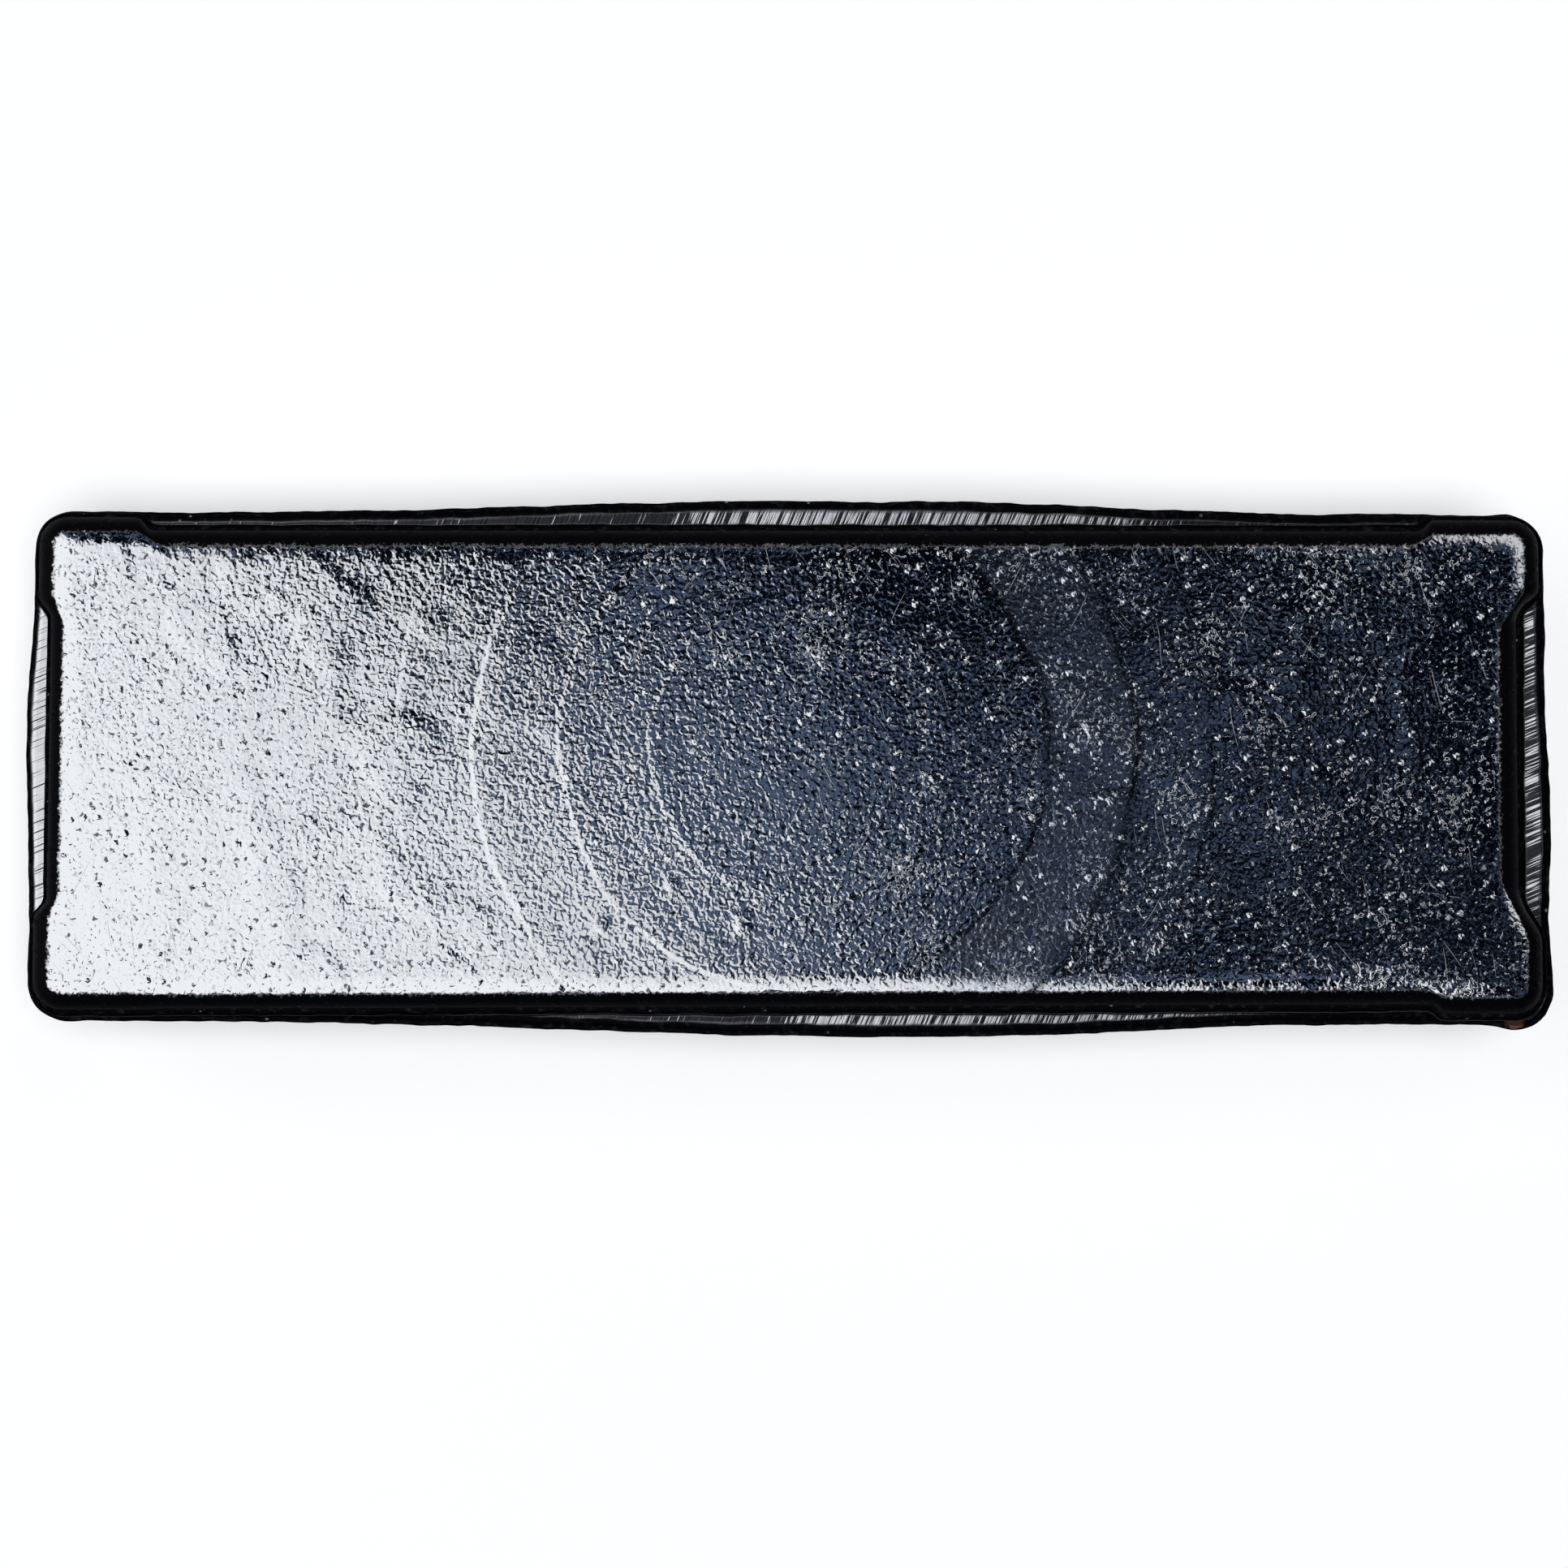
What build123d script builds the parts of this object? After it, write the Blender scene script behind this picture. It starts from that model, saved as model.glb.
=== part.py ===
import os
from math import atan2, degrees

from build123d import *

# A cast bar of white metal, lying on its base: length along X, width along Y, poured face up.
# The bar is one pour, so it is one solid.

# Body: the part that lay in the mould, from the base up to the lip.
bar_length = 117.1  # at the lip, from corner to corner
bar_width = 39.6
bar_corner = 3.0  # plan radius at the lip
body_height = 18.6  # base to lip
body_draft = 1.65  # how far each side leans in between lip and base
base_round = 1.5
lip_round = 0.75

# Swell: each side bows out about its middle and runs straight for its lead beside each corner.
side_swell = 1.05
side_lead = 10.5
end_swell = 0.5
end_lead = 3.3

# Crown: the part above the lip, rounded over by the skin of the melt.
crown_height = 2.8
crown_inset = 0.35  # inside the corners of the lip
crown_round = 1.6

# Seats: a step let into each side of the crown, with raked ends.
side_seat_length = 98.0  # along the wall at the back of the seat
side_seat_depth = 1.0  # in from the corners of the bar
side_seat_rake = 1.2  # run of each raked end
end_seat_length = 22.0
end_seat_depth = 1.3
end_seat_rake = 1.6


def swollen_side(length, swell, lead):
    """One side of the lip and the corner at its right end, along Y = 0 with the metal below."""
    run = length / 2 - bar_corner
    bend = (run - lead) / 2
    start = Line((-run, 0), (-2 * bend, 0))
    rise = TangentArc(start @ 1, (-bend, swell / 2), tangent=(1, 0))
    crest = ThreePointArc(rise @ 1, (0, swell), (bend, swell / 2))
    fall = mirror(rise, Plane.YZ)
    finish = mirror(start, Plane.YZ)
    corner = TangentArc((run, 0), (length / 2, -bar_corner), tangent=(1, 0))
    return [start, rise, crest, fall, finish, corner]


def seat(length, depth, rake):
    """Plan of one seat, let into the edge Y = 0 and open at its mouth."""
    back = length / 2
    mouth = back + 2 * rake
    return make_face(Polyline((-back, -depth), (back, -depth), (mouth, depth), (-mouth, depth), close=True))


# Plans of the lip and the crown, worked round the bar from side to side.
lip_edges = []
crown_length = bar_length - 2 * crown_inset
crown_width = bar_width - 2 * crown_inset
crown_plan = RectangleRounded(crown_length, crown_width, bar_corner - crown_inset)
for turn in (0, 180):
    on_side = Rot(0, 0, turn) * Pos(0, bar_width / 2)
    on_end = Rot(0, 0, turn + 90) * Pos(0, bar_length / 2)
    lip_edges += [on_side * edge for edge in swollen_side(bar_length, side_swell, side_lead)]
    lip_edges += [on_end * edge for edge in swollen_side(bar_width, end_swell, end_lead)]
    crown_plan -= on_side * seat(side_seat_length, side_seat_depth, side_seat_rake)
    crown_plan -= on_end * seat(end_seat_length, end_seat_depth, end_seat_rake)

# Body, drawn in from the lip down to the base so that it leaves the mould.
draft_angle = degrees(atan2(body_draft, body_height))
body = extrude(make_face(lip_edges), -body_height, taper=draft_angle)
body = fillet(body.edges().group_by(Axis.Z)[-1], lip_round)
body = fillet(body.edges().group_by(Axis.Z)[0], base_round)

# Crown, rooted in the rounding of the lip.
crown = Pos(0, 0, -lip_round) * extrude(crown_plan, lip_round + crown_height)
crown = fillet(crown.edges().group_by(Axis.Z)[-1], crown_round)

ingot = Pos(0, 0, body_height) * (body + crown)
ingot.label = "ingot"

os.makedirs("parts", exist_ok=True)
export_step(ingot, "parts/ingot.step")
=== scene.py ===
import math
import random

import bmesh
import bpy
from mathutils import Matrix, Vector, kdtree, noise


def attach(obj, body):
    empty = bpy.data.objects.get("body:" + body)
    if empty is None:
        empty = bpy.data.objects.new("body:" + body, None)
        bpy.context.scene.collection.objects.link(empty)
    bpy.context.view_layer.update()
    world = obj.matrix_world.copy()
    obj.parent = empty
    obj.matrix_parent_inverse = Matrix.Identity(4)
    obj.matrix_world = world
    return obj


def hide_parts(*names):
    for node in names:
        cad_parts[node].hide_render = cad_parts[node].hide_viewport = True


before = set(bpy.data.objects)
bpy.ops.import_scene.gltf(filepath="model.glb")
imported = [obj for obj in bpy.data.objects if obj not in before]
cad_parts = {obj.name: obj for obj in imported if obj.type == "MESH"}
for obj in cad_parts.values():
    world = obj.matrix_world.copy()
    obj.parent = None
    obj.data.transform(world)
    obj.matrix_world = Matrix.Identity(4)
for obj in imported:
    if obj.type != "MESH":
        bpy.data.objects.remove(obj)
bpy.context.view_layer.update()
scene = bpy.context.scene
scene.view_settings.view_transform = "Standard"
toMetres = 0.001  # the bar and the camera are set out in mm
print("frame loaded:", ", ".join(sorted(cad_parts)))


def eased(low, high, value):
    # soft step from 0 at low to 1 at high
    t = min(max((value - low) / (high - low), 0.0), 1.0)
    return t * t * (3.0 - 2.0 * t)


# The bar, in mm.
barForm = {
    "half": (58.55, 19.8),  # lip, corner to corner
    "corner": 3.0,
    "tightCorner": 0.9,  # smallest plan radius further in
    "lipHeight": 18.6,
    "topHeight": 21.4,
    "draft": 1.65,
    "baseRound": 1.5,
    "lipRound": 0.75,
    "crownInset": 0.35,
    "crownRound": 1.8,
    "rollRun": 1.4,  # the face rolls down over this run, then the tighter rounding starts
    "cornerRoll": 11.0,  # degrees
    "rolls": {"back": 3.0, "front": 11.0, "left": 8.0, "right": 1.5},  # along the seats
    "cells": (320, 106),  # grid on the poured face
    "smoothing": (9.0, 30, 0.5),  # of the grid at the corners: reach, rounds, share
    "loops": {"roll": 5, "round": 9, "wall": 2, "ledge": 12, "side": 26, "base": 5},
    "faceLoops": 4,  # how far down the rounding the face's finish goes
    # side: where the seat starts and ends, its depth at each, its ramp at each
    "seats": {
        "back": (-49.0, 48.6, 1.25, 1.1, 1.2, 1.0),
        "front": (-48.4, 49.2, 0.42, 1.05, 1.2, 1.0),
        "left": (-10.5, 11.1, 1.35, 1.35, 1.5, 1.8),
        "right": (-9.6, 11.6, 1.85, 1.85, 4.0, 2.0),
    },
    # side: swell, place of its peak, half length
    "swells": {
        "back": (0.95, 5.0, 45.0),
        "front": (1.05, 9.0, 45.0),
        "left": (0.45, 2.5, 13.5),
        "right": (0.35, -2.5, 13.5),
    },
    # added to the rounding along the seats
    "broader": {"back": 0.1, "front": 0.0, "left": -0.1, "right": 0.5},
    # painted shade over the rounding, where the dark room is mirrored: where it starts and is full,
    # in from the crown's wall
    "cornerFade": (2.05, 1.4),
    "fades": {
        "back": (2.5, 1.35),
        "front": (1.75, 1.3),
        "left": (1.85, 1.15),
        "right": (2.45, 2.05),
    },
    "wallFoot": (0.03, 0.12),  # how far out and how far above the ledge
    "wallShadeLoss": 0.5,  # share of the painted shade that is taken off there
    "ledgeGap": 0.1,  # between the wall's foot and the ledge
    "ledgeDark": (0.14, 0.02),  # painted shade along the wall's foot, where it meets the ledge: where it ends and is full
    # rise of the ledge towards the lip
    "ledgeSlope": {"back": 0.10, "front": -0.08, "left": 0.0, "right": 0.16},
    # width of the painted shade on the lip
    "lipDark": {"back": 0.86, "front": 0.92, "left": 0.52, "right": 0.80},
    "lipBlend": 0.1,
    "flare": (0.55, 9.0, 5.0),  # front right corner: how far, its run on the end and the side
    "flareDark": 0.66,  # width of the painted shade on the lip there
    "sideBias": 1.1,  # the loops of the sides crowd a little towards the lip
    "sideDark": (4.2, 0.8),  # below the lip: where the painted shade ends and is full
    "sideFinish": (0.7, 1.3),  # below the lip: where the finish of the sides starts and is full
    # unevenness of the lip: height, waves per mm
    "wander": ((0.12, 0.16), (0.07, 0.55), (0.05, 1.05)),
    "wanderSlice": (0.4, 10.0),  # where each one cuts the noise
    "wanderSpan": (1.0, 0.6, 0.25),  # starts below the top, is full above the lip, least share
    # folds of the sides: height, waves per mm along and up
    "laps": ((0.14, 0.09, 0.42), (0.06, 0.05, 0.9)),
    "lapSpan": (3.0, 0.2, 2.0),  # full below the lip, starts and is full above the base
    "flatBase": 0.01,  # nothing below this height is pushed out
}
outward = {"back": (1, 1), "front": (1, -1), "left": (0, -1), "right": (0, 1)}  # axis, sign

# Relief of the poured face, in mm.
faceRelief = {
    "seed": 41,
    "span": (1.6, 0.3),  # below the top: where the relief starts and is full
    "sway": (0.011, 0.055, 3.7),  # height, waves per mm, where it cuts the noise
    "lumps": (0.0016, 0.42, 9.1),
    "lumpOctaves": (0.9, 2.0, 3),
    "ringCentre": (1.25, 1.25),
    "ringStep": 6.5,
    "ringFirst": 11.9,
    "ringHeight": 0.003,
    "ringSpan": (6.0, 11.0, 36.0, 48.0),  # radii: start, full, fading, gone
    # x, y, half length, half width, height, raggedness
    "marks": (
        (-50.0, 0.3, 0.8, 0.7, -0.035, 0.8),
        (-48.1, -2.5, 0.8, 0.7, -0.03, 0.7),
        (-39.2, 12.9, 1.0, 0.8, 0.016, 0.8),
        (-28.8, 2.8, 0.9, 0.7, 0.012, 0.9),
        (-24.8, 3.9, 0.7, 1.1, 0.012, 1.0),
        (-23.2, 2.2, 1.2, 0.7, 0.0, 1.0),
        (-25.1, -14.7, 1.2, 1.0, -0.03, 1.0),
        (-14.1, -12.5, 0.7, 0.7, 0.04, 0.3),
        (-8.8, -9.4, 0.7, 0.7, 0.04, 0.3),
        (-3.4, -12.2, 0.8, 1.2, 0.03, 0.8),
        (-33.5, -10.3, 0.9, 0.8, -0.03, 0.8),
        (-41.4, -15.4, 1.2, 0.9, 0.0, 0.6),
        (-52.9, 14.6, 0.9, 1.3, 0.0, 0.6),
        (-48.3, 13.6, 1.5, 1.0, 0.0, 0.5),
        (2.5, 8.8, 1.6, 1.3, 0.02, 0.5),
        (11.3, -1.3, 1.2, 1.0, 0.02, 0.5),
        (22.9, 2.4, 1.9, 1.6, 0.02, 0.6),
        (24.5, -2.6, 2.2, 0.9, 0.02, 0.75),
        (22.9, -11.9, 2.4, 1.8, 0.02, 0.6),
        (28.5, -13.8, 1.5, 1.6, 0.02, 0.6),
        (33.9, -0.6, 2.0, 2.0, 0.0, 0.4),
        (32.0, 9.7, 1.1, 0.9, 0.02, 0.6),
        (48.3, 15.0, 0.8, 0.9, 0.03, 0.9),
        (54.9, 5.5, 1.5, 0.8, 0.02, 1.0),
        (40.8, -15.0, 2.4, 1.6, 0.0, 0.6),
        (44.4, -16.2, 5.5, 1.9, 0.0, 0.8),
        (51.4, -17.2, 3.6, 1.4, 0.0, 1.0),
        (55.8, -11.9, 1.3, 1.0, 0.0, 0.8),
    ),
    "markDepth": 0.8,  # below the top: what a mark can still reach
    "markEdge": (1.25, 0.22, 1.3),  # widest reach, waviness of the outline, its rate
    # small marks strewn over the face
    "strays": {
        "count": 34,
        "field": (55.0, 17.0),
        "radius": (0.5, 0.9),
        "signs": (-1.0, 1.0, 1.0),  # a third of them are dents
        "height": (0.005, 0.012),
        "width": (0.6, 1.0),  # share of the radius
        "ragged": (0.0, 0.35),
    },
}


def rimPoint(form, side, along, inset):
    # a point of the outline, drawn in by the inset; the run counts from the middle of the side
    outAxis, sign = outward[side]
    alongAxis = 1 - outAxis
    radius = max(form["corner"] - inset, form["tightCorner"])
    run = form["half"][alongAxis] - form["corner"]
    centreAlong = form["half"][alongAxis] - inset - radius
    centreOut = form["half"][outAxis] - inset - radius
    point = [0.0, 0.0]
    if abs(along) <= run:
        point[alongAxis] = along * centreAlong / run
        point[outAxis] = sign * (centreOut + radius)
    else:
        turn = (abs(along) - run) / form["corner"]
        point[alongAxis] = math.copysign(centreAlong + radius * math.sin(turn), along)
        point[outAxis] = sign * (centreOut + radius * math.cos(turn))
    return Vector((point[0], point[1], 0.0))


def rimReach(form, axis):
    # from the middle of a side to the middle of its corner
    return form["half"][axis] - form["corner"] + math.pi / 4.0 * form["corner"]


def seatShare(form, side, along):
    # 1 along the seat, 0 beside the corners
    start, end, _, _, startRamp, endRamp = form["seats"][side]
    return eased(start - startRamp, start, along) * eased(end + endRamp, end, along)


def seatInset(form, side, along):
    # how far the crown's wall stands in from the lip's outline
    start, end, startDepth, endDepth, _, _ = form["seats"][side]
    gone = min(max((along - start) / (end - start), 0.0), 1.0)
    depth = startDepth + (endDepth - startDepth) * gone
    return form["crownInset"] + seatShare(form, side, along) * (depth - form["crownInset"])


def flareShare(form, side, along):
    # 1 at the corner that flares out
    _, endRun, sideRun = form["flare"]
    if side == "right":
        return eased(endRun, 0.0, along + rimReach(form, 1))
    if side == "front":
        return eased(sideRun, 0.0, rimReach(form, 0) - along)
    return 0.0


def sideSwell(form, side, along):
    # how far the lip bows out
    height, peak, half = form["swells"][side]
    t = abs(along - peak) / (half - math.copysign(peak, along - peak))
    swell = height * (1.0 - 2.0 * t * t) if t < 0.5 else height * 2.0 * max(1.0 - t, 0.0) ** 2
    return swell + form["flare"][0] * flareShare(form, side, along)


def barProfile(form, side, along):
    # (inset, z, zone) from the edge of the face down to the base; a zone is (ledge, painted shade,
    # side)
    loops = form["loops"]
    top, lip = form["topHeight"], form["lipHeight"]
    share = seatShare(form, side, along)
    wall = seatInset(form, side, along)
    swell = sideSwell(form, side, along)

    # the face rolls down, then the crown rounds over
    tilt = math.radians(form["cornerRoll"] + share * (form["rolls"][side] - form["cornerRoll"]))
    roll = form["rollRun"]
    bend = form["crownRound"] + share * form["broader"][side]
    # how far in the painted shade over the rounding starts and is full
    fadeStart, fadeFull = (atCorner + share * (own - atCorner)
                           for atCorner, own in zip(form["cornerFade"], form["fades"][side]))
    bendRun = bend * (1.0 - math.sin(tilt))
    path = []
    for i in range(loops["roll"]):
        gone = roll * i / loops["roll"]
        away = bendRun + roll - gone
        z = top - tilt * gone * gone / (2.0 * roll)
        path.append((wall + away, z, (0.0, eased(fadeStart, fadeFull, away), 0.0)))
    for i in range(loops["round"] + 1):
        lean = tilt + (math.pi / 2.0 - tilt) * i / loops["round"]
        away = bend * (1.0 - math.sin(lean))
        z = top - tilt * roll / 2.0 - bend * (math.cos(tilt) - math.cos(lean))
        path.append((wall + away, z, (0.0, eased(fadeStart, fadeFull, away), 0.0)))

    # the crown's wall stands on the ledge
    lipRound = form["lipRound"]
    flare = flareShare(form, side, along)
    ledgeStart = wall + swell
    flat = max(ledgeStart - lipRound, 0.0)
    slope = form["ledgeSlope"][side] * max(share, flare)
    startLean = math.asin(max(lipRound - ledgeStart, 0.0) / lipRound)
    ledgeFoot = lip - lipRound * (1.0 - math.cos(startLean)) - slope * flat
    footOut, footRise = form["wallFoot"]
    wallTop = path[-1][1]
    # the wall is painted shade, a little lighter towards its foot
    for i in range(loops["wall"]):
        down = (i + 1) / loops["wall"]
        z = wallTop + (ledgeFoot + footRise - wallTop) * down
        path.append((wall - footOut * down, z, (0.0, 1.0 - form["wallShadeLoss"] * down, 0.0)))

    # the ledge runs out to the lip, which turns down into the side
    endLean = math.pi / 2.0 - math.atan2(form["draft"], lip)
    whole = flat + lipRound * (endLean - startLean)
    lipDark = form["lipDark"][side] + flare * (form["flareDark"] - form["lipDark"][side])
    gap, blend = form["ledgeGap"], form["lipBlend"]
    for i in range(loops["ledge"] + 1):
        gone = whole * i / loops["ledge"]
        if gone <= flat:
            away = max(ledgeStart - gap - gone * (1.0 - gap / max(flat, gap)), lipRound)
            z = lip + slope * (gone - flat)
        else:
            lean = startLean + (gone - flat) / lipRound
            away = lipRound * (1.0 - math.sin(lean))
            z = lip - lipRound * (1.0 - math.cos(lean))
        # painted shade on the lip, and along the wall's foot where it meets the ledge
        dark = max(eased(lipDark + blend, lipDark - blend, away), eased(*form["ledgeDark"], gone))
        path.append((away - swell, z, (1.0 - dark, dark, 0.0)))

    # the side leans in to the base
    sideInset, sideTop, _ = path[-1]
    baseRound = form["baseRound"]
    darkEnd, darkFull = (lip - below for below in form["sideDark"])
    finishStart, finishFull = (lip - below for below in form["sideFinish"])
    # the painted shade runs out down the side below the lip
    for i in range(loops["side"]):
        z = sideTop + (baseRound - sideTop) * ((i + 1) / loops["side"]) ** form["sideBias"]
        inset = sideInset + form["draft"] * (sideTop - z) / lip
        dark, finished = eased(darkEnd, darkFull, z), eased(finishStart, finishFull, z)
        path.append((inset, z, (0.0, dark, finished)))
    footInset = path[-1][0]
    for i in range(loops["base"]):
        lean = math.pi / 2.0 * (i + 1) / loops["base"]
        inset = footInset + baseRound * (1.0 - math.cos(lean))
        path.append((inset, baseRound * (1.0 - math.sin(lean)), (0.0, 0.0, 1.0)))
    return path


def faceHeight(relief, x, y):
    # slow relief of the poured face: sway, lumps and the rings it set in
    swayHeight, swayRate, swaySlice = relief["sway"]
    lumpHeight, lumpRate, lumpSlice = relief["lumps"]
    lumpPlace = Vector((x * lumpRate, y * lumpRate, lumpSlice))
    height = swayHeight * noise.noise(Vector((x * swayRate, y * swayRate, swaySlice)))
    height += lumpHeight * noise.fractal(lumpPlace, *relief["lumpOctaves"])
    centreX, centreY = relief["ringCentre"]
    reach = math.hypot(x - centreX, y - centreY)
    wave = (reach - relief["ringFirst"]) / relief["ringStep"]
    start, full, fading, gone = relief["ringSpan"]
    shown = eased(start, full, reach) * eased(gone, fading, reach)
    return height + shown * relief["ringHeight"] * math.cos(2.0 * math.pi * wave)


def stretchFace(bm, form, zone, station):
    # stretches the grid over the face and gives every rim vertex a profile of its own
    reach = [rimReach(form, 0), rimReach(form, 1)]
    onEdge = 0.9999  # of a grid from -1 to 1
    profiles, places = [], {}
    for vert in bm.verts:
        if not vert.is_boundary:
            continue
        u, v = vert.co.x, vert.co.y
        if v > onEdge:
            side, along = "back", u * reach[0]
        elif v < -onEdge:
            side, along = "front", u * reach[0]
        else:
            side, along = ("left" if u < 0.0 else "right"), v * reach[1]
        profiles.append((side, along, barProfile(form, side, along)))
        vert[station] = len(profiles)
        places[(round(u, 4), round(v, 4))] = rimPoint(form, side, along, profiles[-1][2][0][0])

    frontLeft, frontRight = places[(-1.0, -1.0)], places[(1.0, -1.0)]
    backLeft, backRight = places[(-1.0, 1.0)], places[(1.0, 1.0)]
    for vert in bm.verts:
        u, v = round(vert.co.x, 4), round(vert.co.y, 4)
        a, b = (vert.co.x + 1.0) / 2.0, (vert.co.y + 1.0) / 2.0
        point = places[(u, -1.0)] * (1.0 - b) + places[(u, 1.0)] * b
        point = point + places[(-1.0, v)] * (1.0 - a) + places[(1.0, v)] * a
        point = point - frontLeft * (1.0 - a) * (1.0 - b) - frontRight * a * (1.0 - b)
        point = point - backLeft * (1.0 - a) * b - backRight * a * b
        vert.co = (point.x, point.y, form["topHeight"])
        vert[zone] = (0.0, 0.0, 0.0, 1.0)

    cornerReach, rounds, share = form["smoothing"]
    fromX, fromY = (half - cornerReach for half in form["half"])
    corners = [vert for vert in bm.verts if not vert.is_boundary
               and abs(vert.co.x) > fromX and abs(vert.co.y) > fromY]
    for _ in range(rounds):
        bmesh.ops.smooth_vert(bm, verts=corners, factor=share, use_axis_x=True, use_axis_y=True)
    print("face grid:", len(bm.faces), "cells")
    return profiles


def drawOut(bm, form, profiles, zone, station):
    # draws the edge of the face out over the crown, the ledge, the lip and the sides
    rim = [edge for edge in bm.edges if edge.is_boundary]
    faceSteps = form["loops"]["roll"] + form["faceLoops"]
    for step in range(1, len(profiles[0][2])):
        made = bmesh.ops.extrude_edge_only(bm, edges=rim)["geom"]
        rim = [item for item in made if isinstance(item, bmesh.types.BMEdge)]
        for face in (item for item in made if isinstance(item, bmesh.types.BMFace)):
            face.material_index = 0 if step <= faceSteps else 1
        for vert in (item for item in made if isinstance(item, bmesh.types.BMVert)):
            side, along, path = profiles[vert[station] - 1]
            inset, z, mix = path[step]
            point = rimPoint(form, side, along, inset)
            vert.co = (point.x, point.y, z)
            vert[zone] = (*mix, 1.0)
    for face in bmesh.ops.contextual_create(bm, geom=rim)["faces"]:
        face.material_index = 1
    print("bar drawn out:", len(bm.faces), "faces")


def roughen(bm, form, relief):
    # uneven lip, folded sides and the slow relief of the face
    top, lip = form["topHeight"], form["lipHeight"]
    fromX, fromY = (half - form["corner"] for half in form["half"])
    slice0, sliceRate = form["wanderSlice"]
    startBelow, fullAbove, least = form["wanderSpan"]
    fullBelow, lapStart, lapFull = form["lapSpan"]
    reliefStart, reliefFull = (top - below for below in relief["span"])
    for vert in bm.verts:
        x, y, z = vert.co
        out = Vector((math.copysign(max(abs(x) - fromX, 0.0), x),
                      math.copysign(max(abs(y) - fromY, 0.0), y), 0.0))
        if out.length > 0.0 and form["flatBase"] < z < top - startBelow:
            push = sum(height * noise.noise(Vector((x * rate, y * rate, slice0 + sliceRate * rate)))
                       for height, rate in form["wander"])
            push *= eased(top - startBelow, lip + fullAbove, z) * (1.0 - least) + least
            low = eased(lip, lip - fullBelow, z) * eased(lapStart, lapFull, z)
            push += low * sum(height * noise.noise(Vector((x * rate, y * rate, z * riseRate)))
                              for height, rate, riseRate in form["laps"])
            vert.co += out.normalized() * push
        share = eased(reliefStart, reliefFull, z)
        if share > 0.0:
            vert.co.z += share * faceHeight(relief, x, y)


def markFace(bm, form, relief, zone):
    # marks in the face; the ragged ones are noted for the finish
    tree = kdtree.KDTree(len(bm.verts))
    bm.verts.ensure_lookup_table()
    outOfReach = Vector((0.0, 0.0, -50.0))
    for index, vert in enumerate(bm.verts):
        onFace = vert.co.z > form["topHeight"] - relief["markDepth"]
        tree.insert(Vector((vert.co.x, vert.co.y, 0.0)) if onFace else outOfReach, index)
    tree.balance()
    draw = random.Random(relief["seed"])
    marks = list(relief["marks"])
    strays = relief["strays"]
    fieldX, fieldY = strays["field"]
    for _ in range(strays["count"]):
        x, y = draw.uniform(-fieldX, fieldX), draw.uniform(-fieldY, fieldY)
        radius = draw.uniform(*strays["radius"])
        height = draw.choice(strays["signs"]) * draw.uniform(*strays["height"])
        width = radius * draw.uniform(*strays["width"])
        marks.append((x, y, radius, width, height, draw.uniform(*strays["ragged"])))
    reach, waviness, waveRate = relief["markEdge"]
    for x, y, halfLength, halfWidth, height, ragged in marks:
        widest = max(halfLength, halfWidth) * reach
        for co, index, _ in tree.find_range(Vector((x, y, 0.0)), widest):
            off = Vector(((co.x - x) / halfLength, (co.y - y) / halfWidth, 0.0))
            wave = noise.noise(off.normalized() * waveRate + Vector((x, y, 0.0)))
            edge = 1.0 + waviness * wave
            swell = (1.0 - min(off.length / edge, 1.0) ** 2) ** 2
            vert = bm.verts[index]
            vert.co.z += height * swell
            vert[zone] = (max(vert[zone][0], ragged * swell), vert[zone][1], vert[zone][2], 1.0)
    print("face relief:", len(marks), "marks")


def makeBar(form, relief):
    bm = bmesh.new()
    alongCells, acrossCells = form["cells"]
    bmesh.ops.create_grid(bm, x_segments=alongCells, y_segments=acrossCells, size=1.0)
    zone = bm.verts.layers.float_color.new("zones")
    station = bm.verts.layers.int.new("station")
    profiles = stretchFace(bm, form, zone, station)
    drawOut(bm, form, profiles, zone, station)
    roughen(bm, form, relief)
    markFace(bm, form, relief, zone)

    bm.verts.layers.int.remove(station)
    bmesh.ops.recalc_face_normals(bm, faces=bm.faces)
    bmesh.ops.scale(bm, vec=(toMetres, toMetres, toMetres), verts=bm.verts)
    for face in bm.faces:
        face.smooth = len(face.verts) == 4  # all but the base
    mesh = bpy.data.meshes.new("castBar")
    bm.to_mesh(mesh)
    bm.free()
    bar = bpy.data.objects.new("castBar", mesh)
    scene.collection.objects.link(bar)
    return bar


# Small helpers for node trees.
def feed(tree, socket, value):
    if isinstance(value, bpy.types.NodeSocket):
        tree.links.new(value, socket)
    else:
        socket.default_value = value


def maths(tree, operation, *values, clamp=False):
    node = tree.nodes.new("ShaderNodeMath")
    node.operation = operation
    node.use_clamp = clamp
    for socket, value in zip(node.inputs, values):
        feed(tree, socket, value)
    return node.outputs[0]


def ramped(tree, value, low, high, start=0.0, end=1.0):
    node = tree.nodes.new("ShaderNodeMapRange")
    node.interpolation_type = "SMOOTHSTEP"
    names = ("Value", "From Min", "From Max", "To Min", "To Max")
    for name, item in zip(names, (value, low, high, start, end)):
        feed(tree, node.inputs[name], item)
    return node.outputs["Result"]


def mixed(tree, share, first, second):
    node = tree.nodes.new("ShaderNodeMix")
    node.data_type = "RGBA"
    feed(tree, node.inputs["Factor"], share)
    feed(tree, node.inputs[6], first)  # the node's colour sockets, which share their names
    feed(tree, node.inputs[7], second)
    return node.outputs[2]


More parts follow.
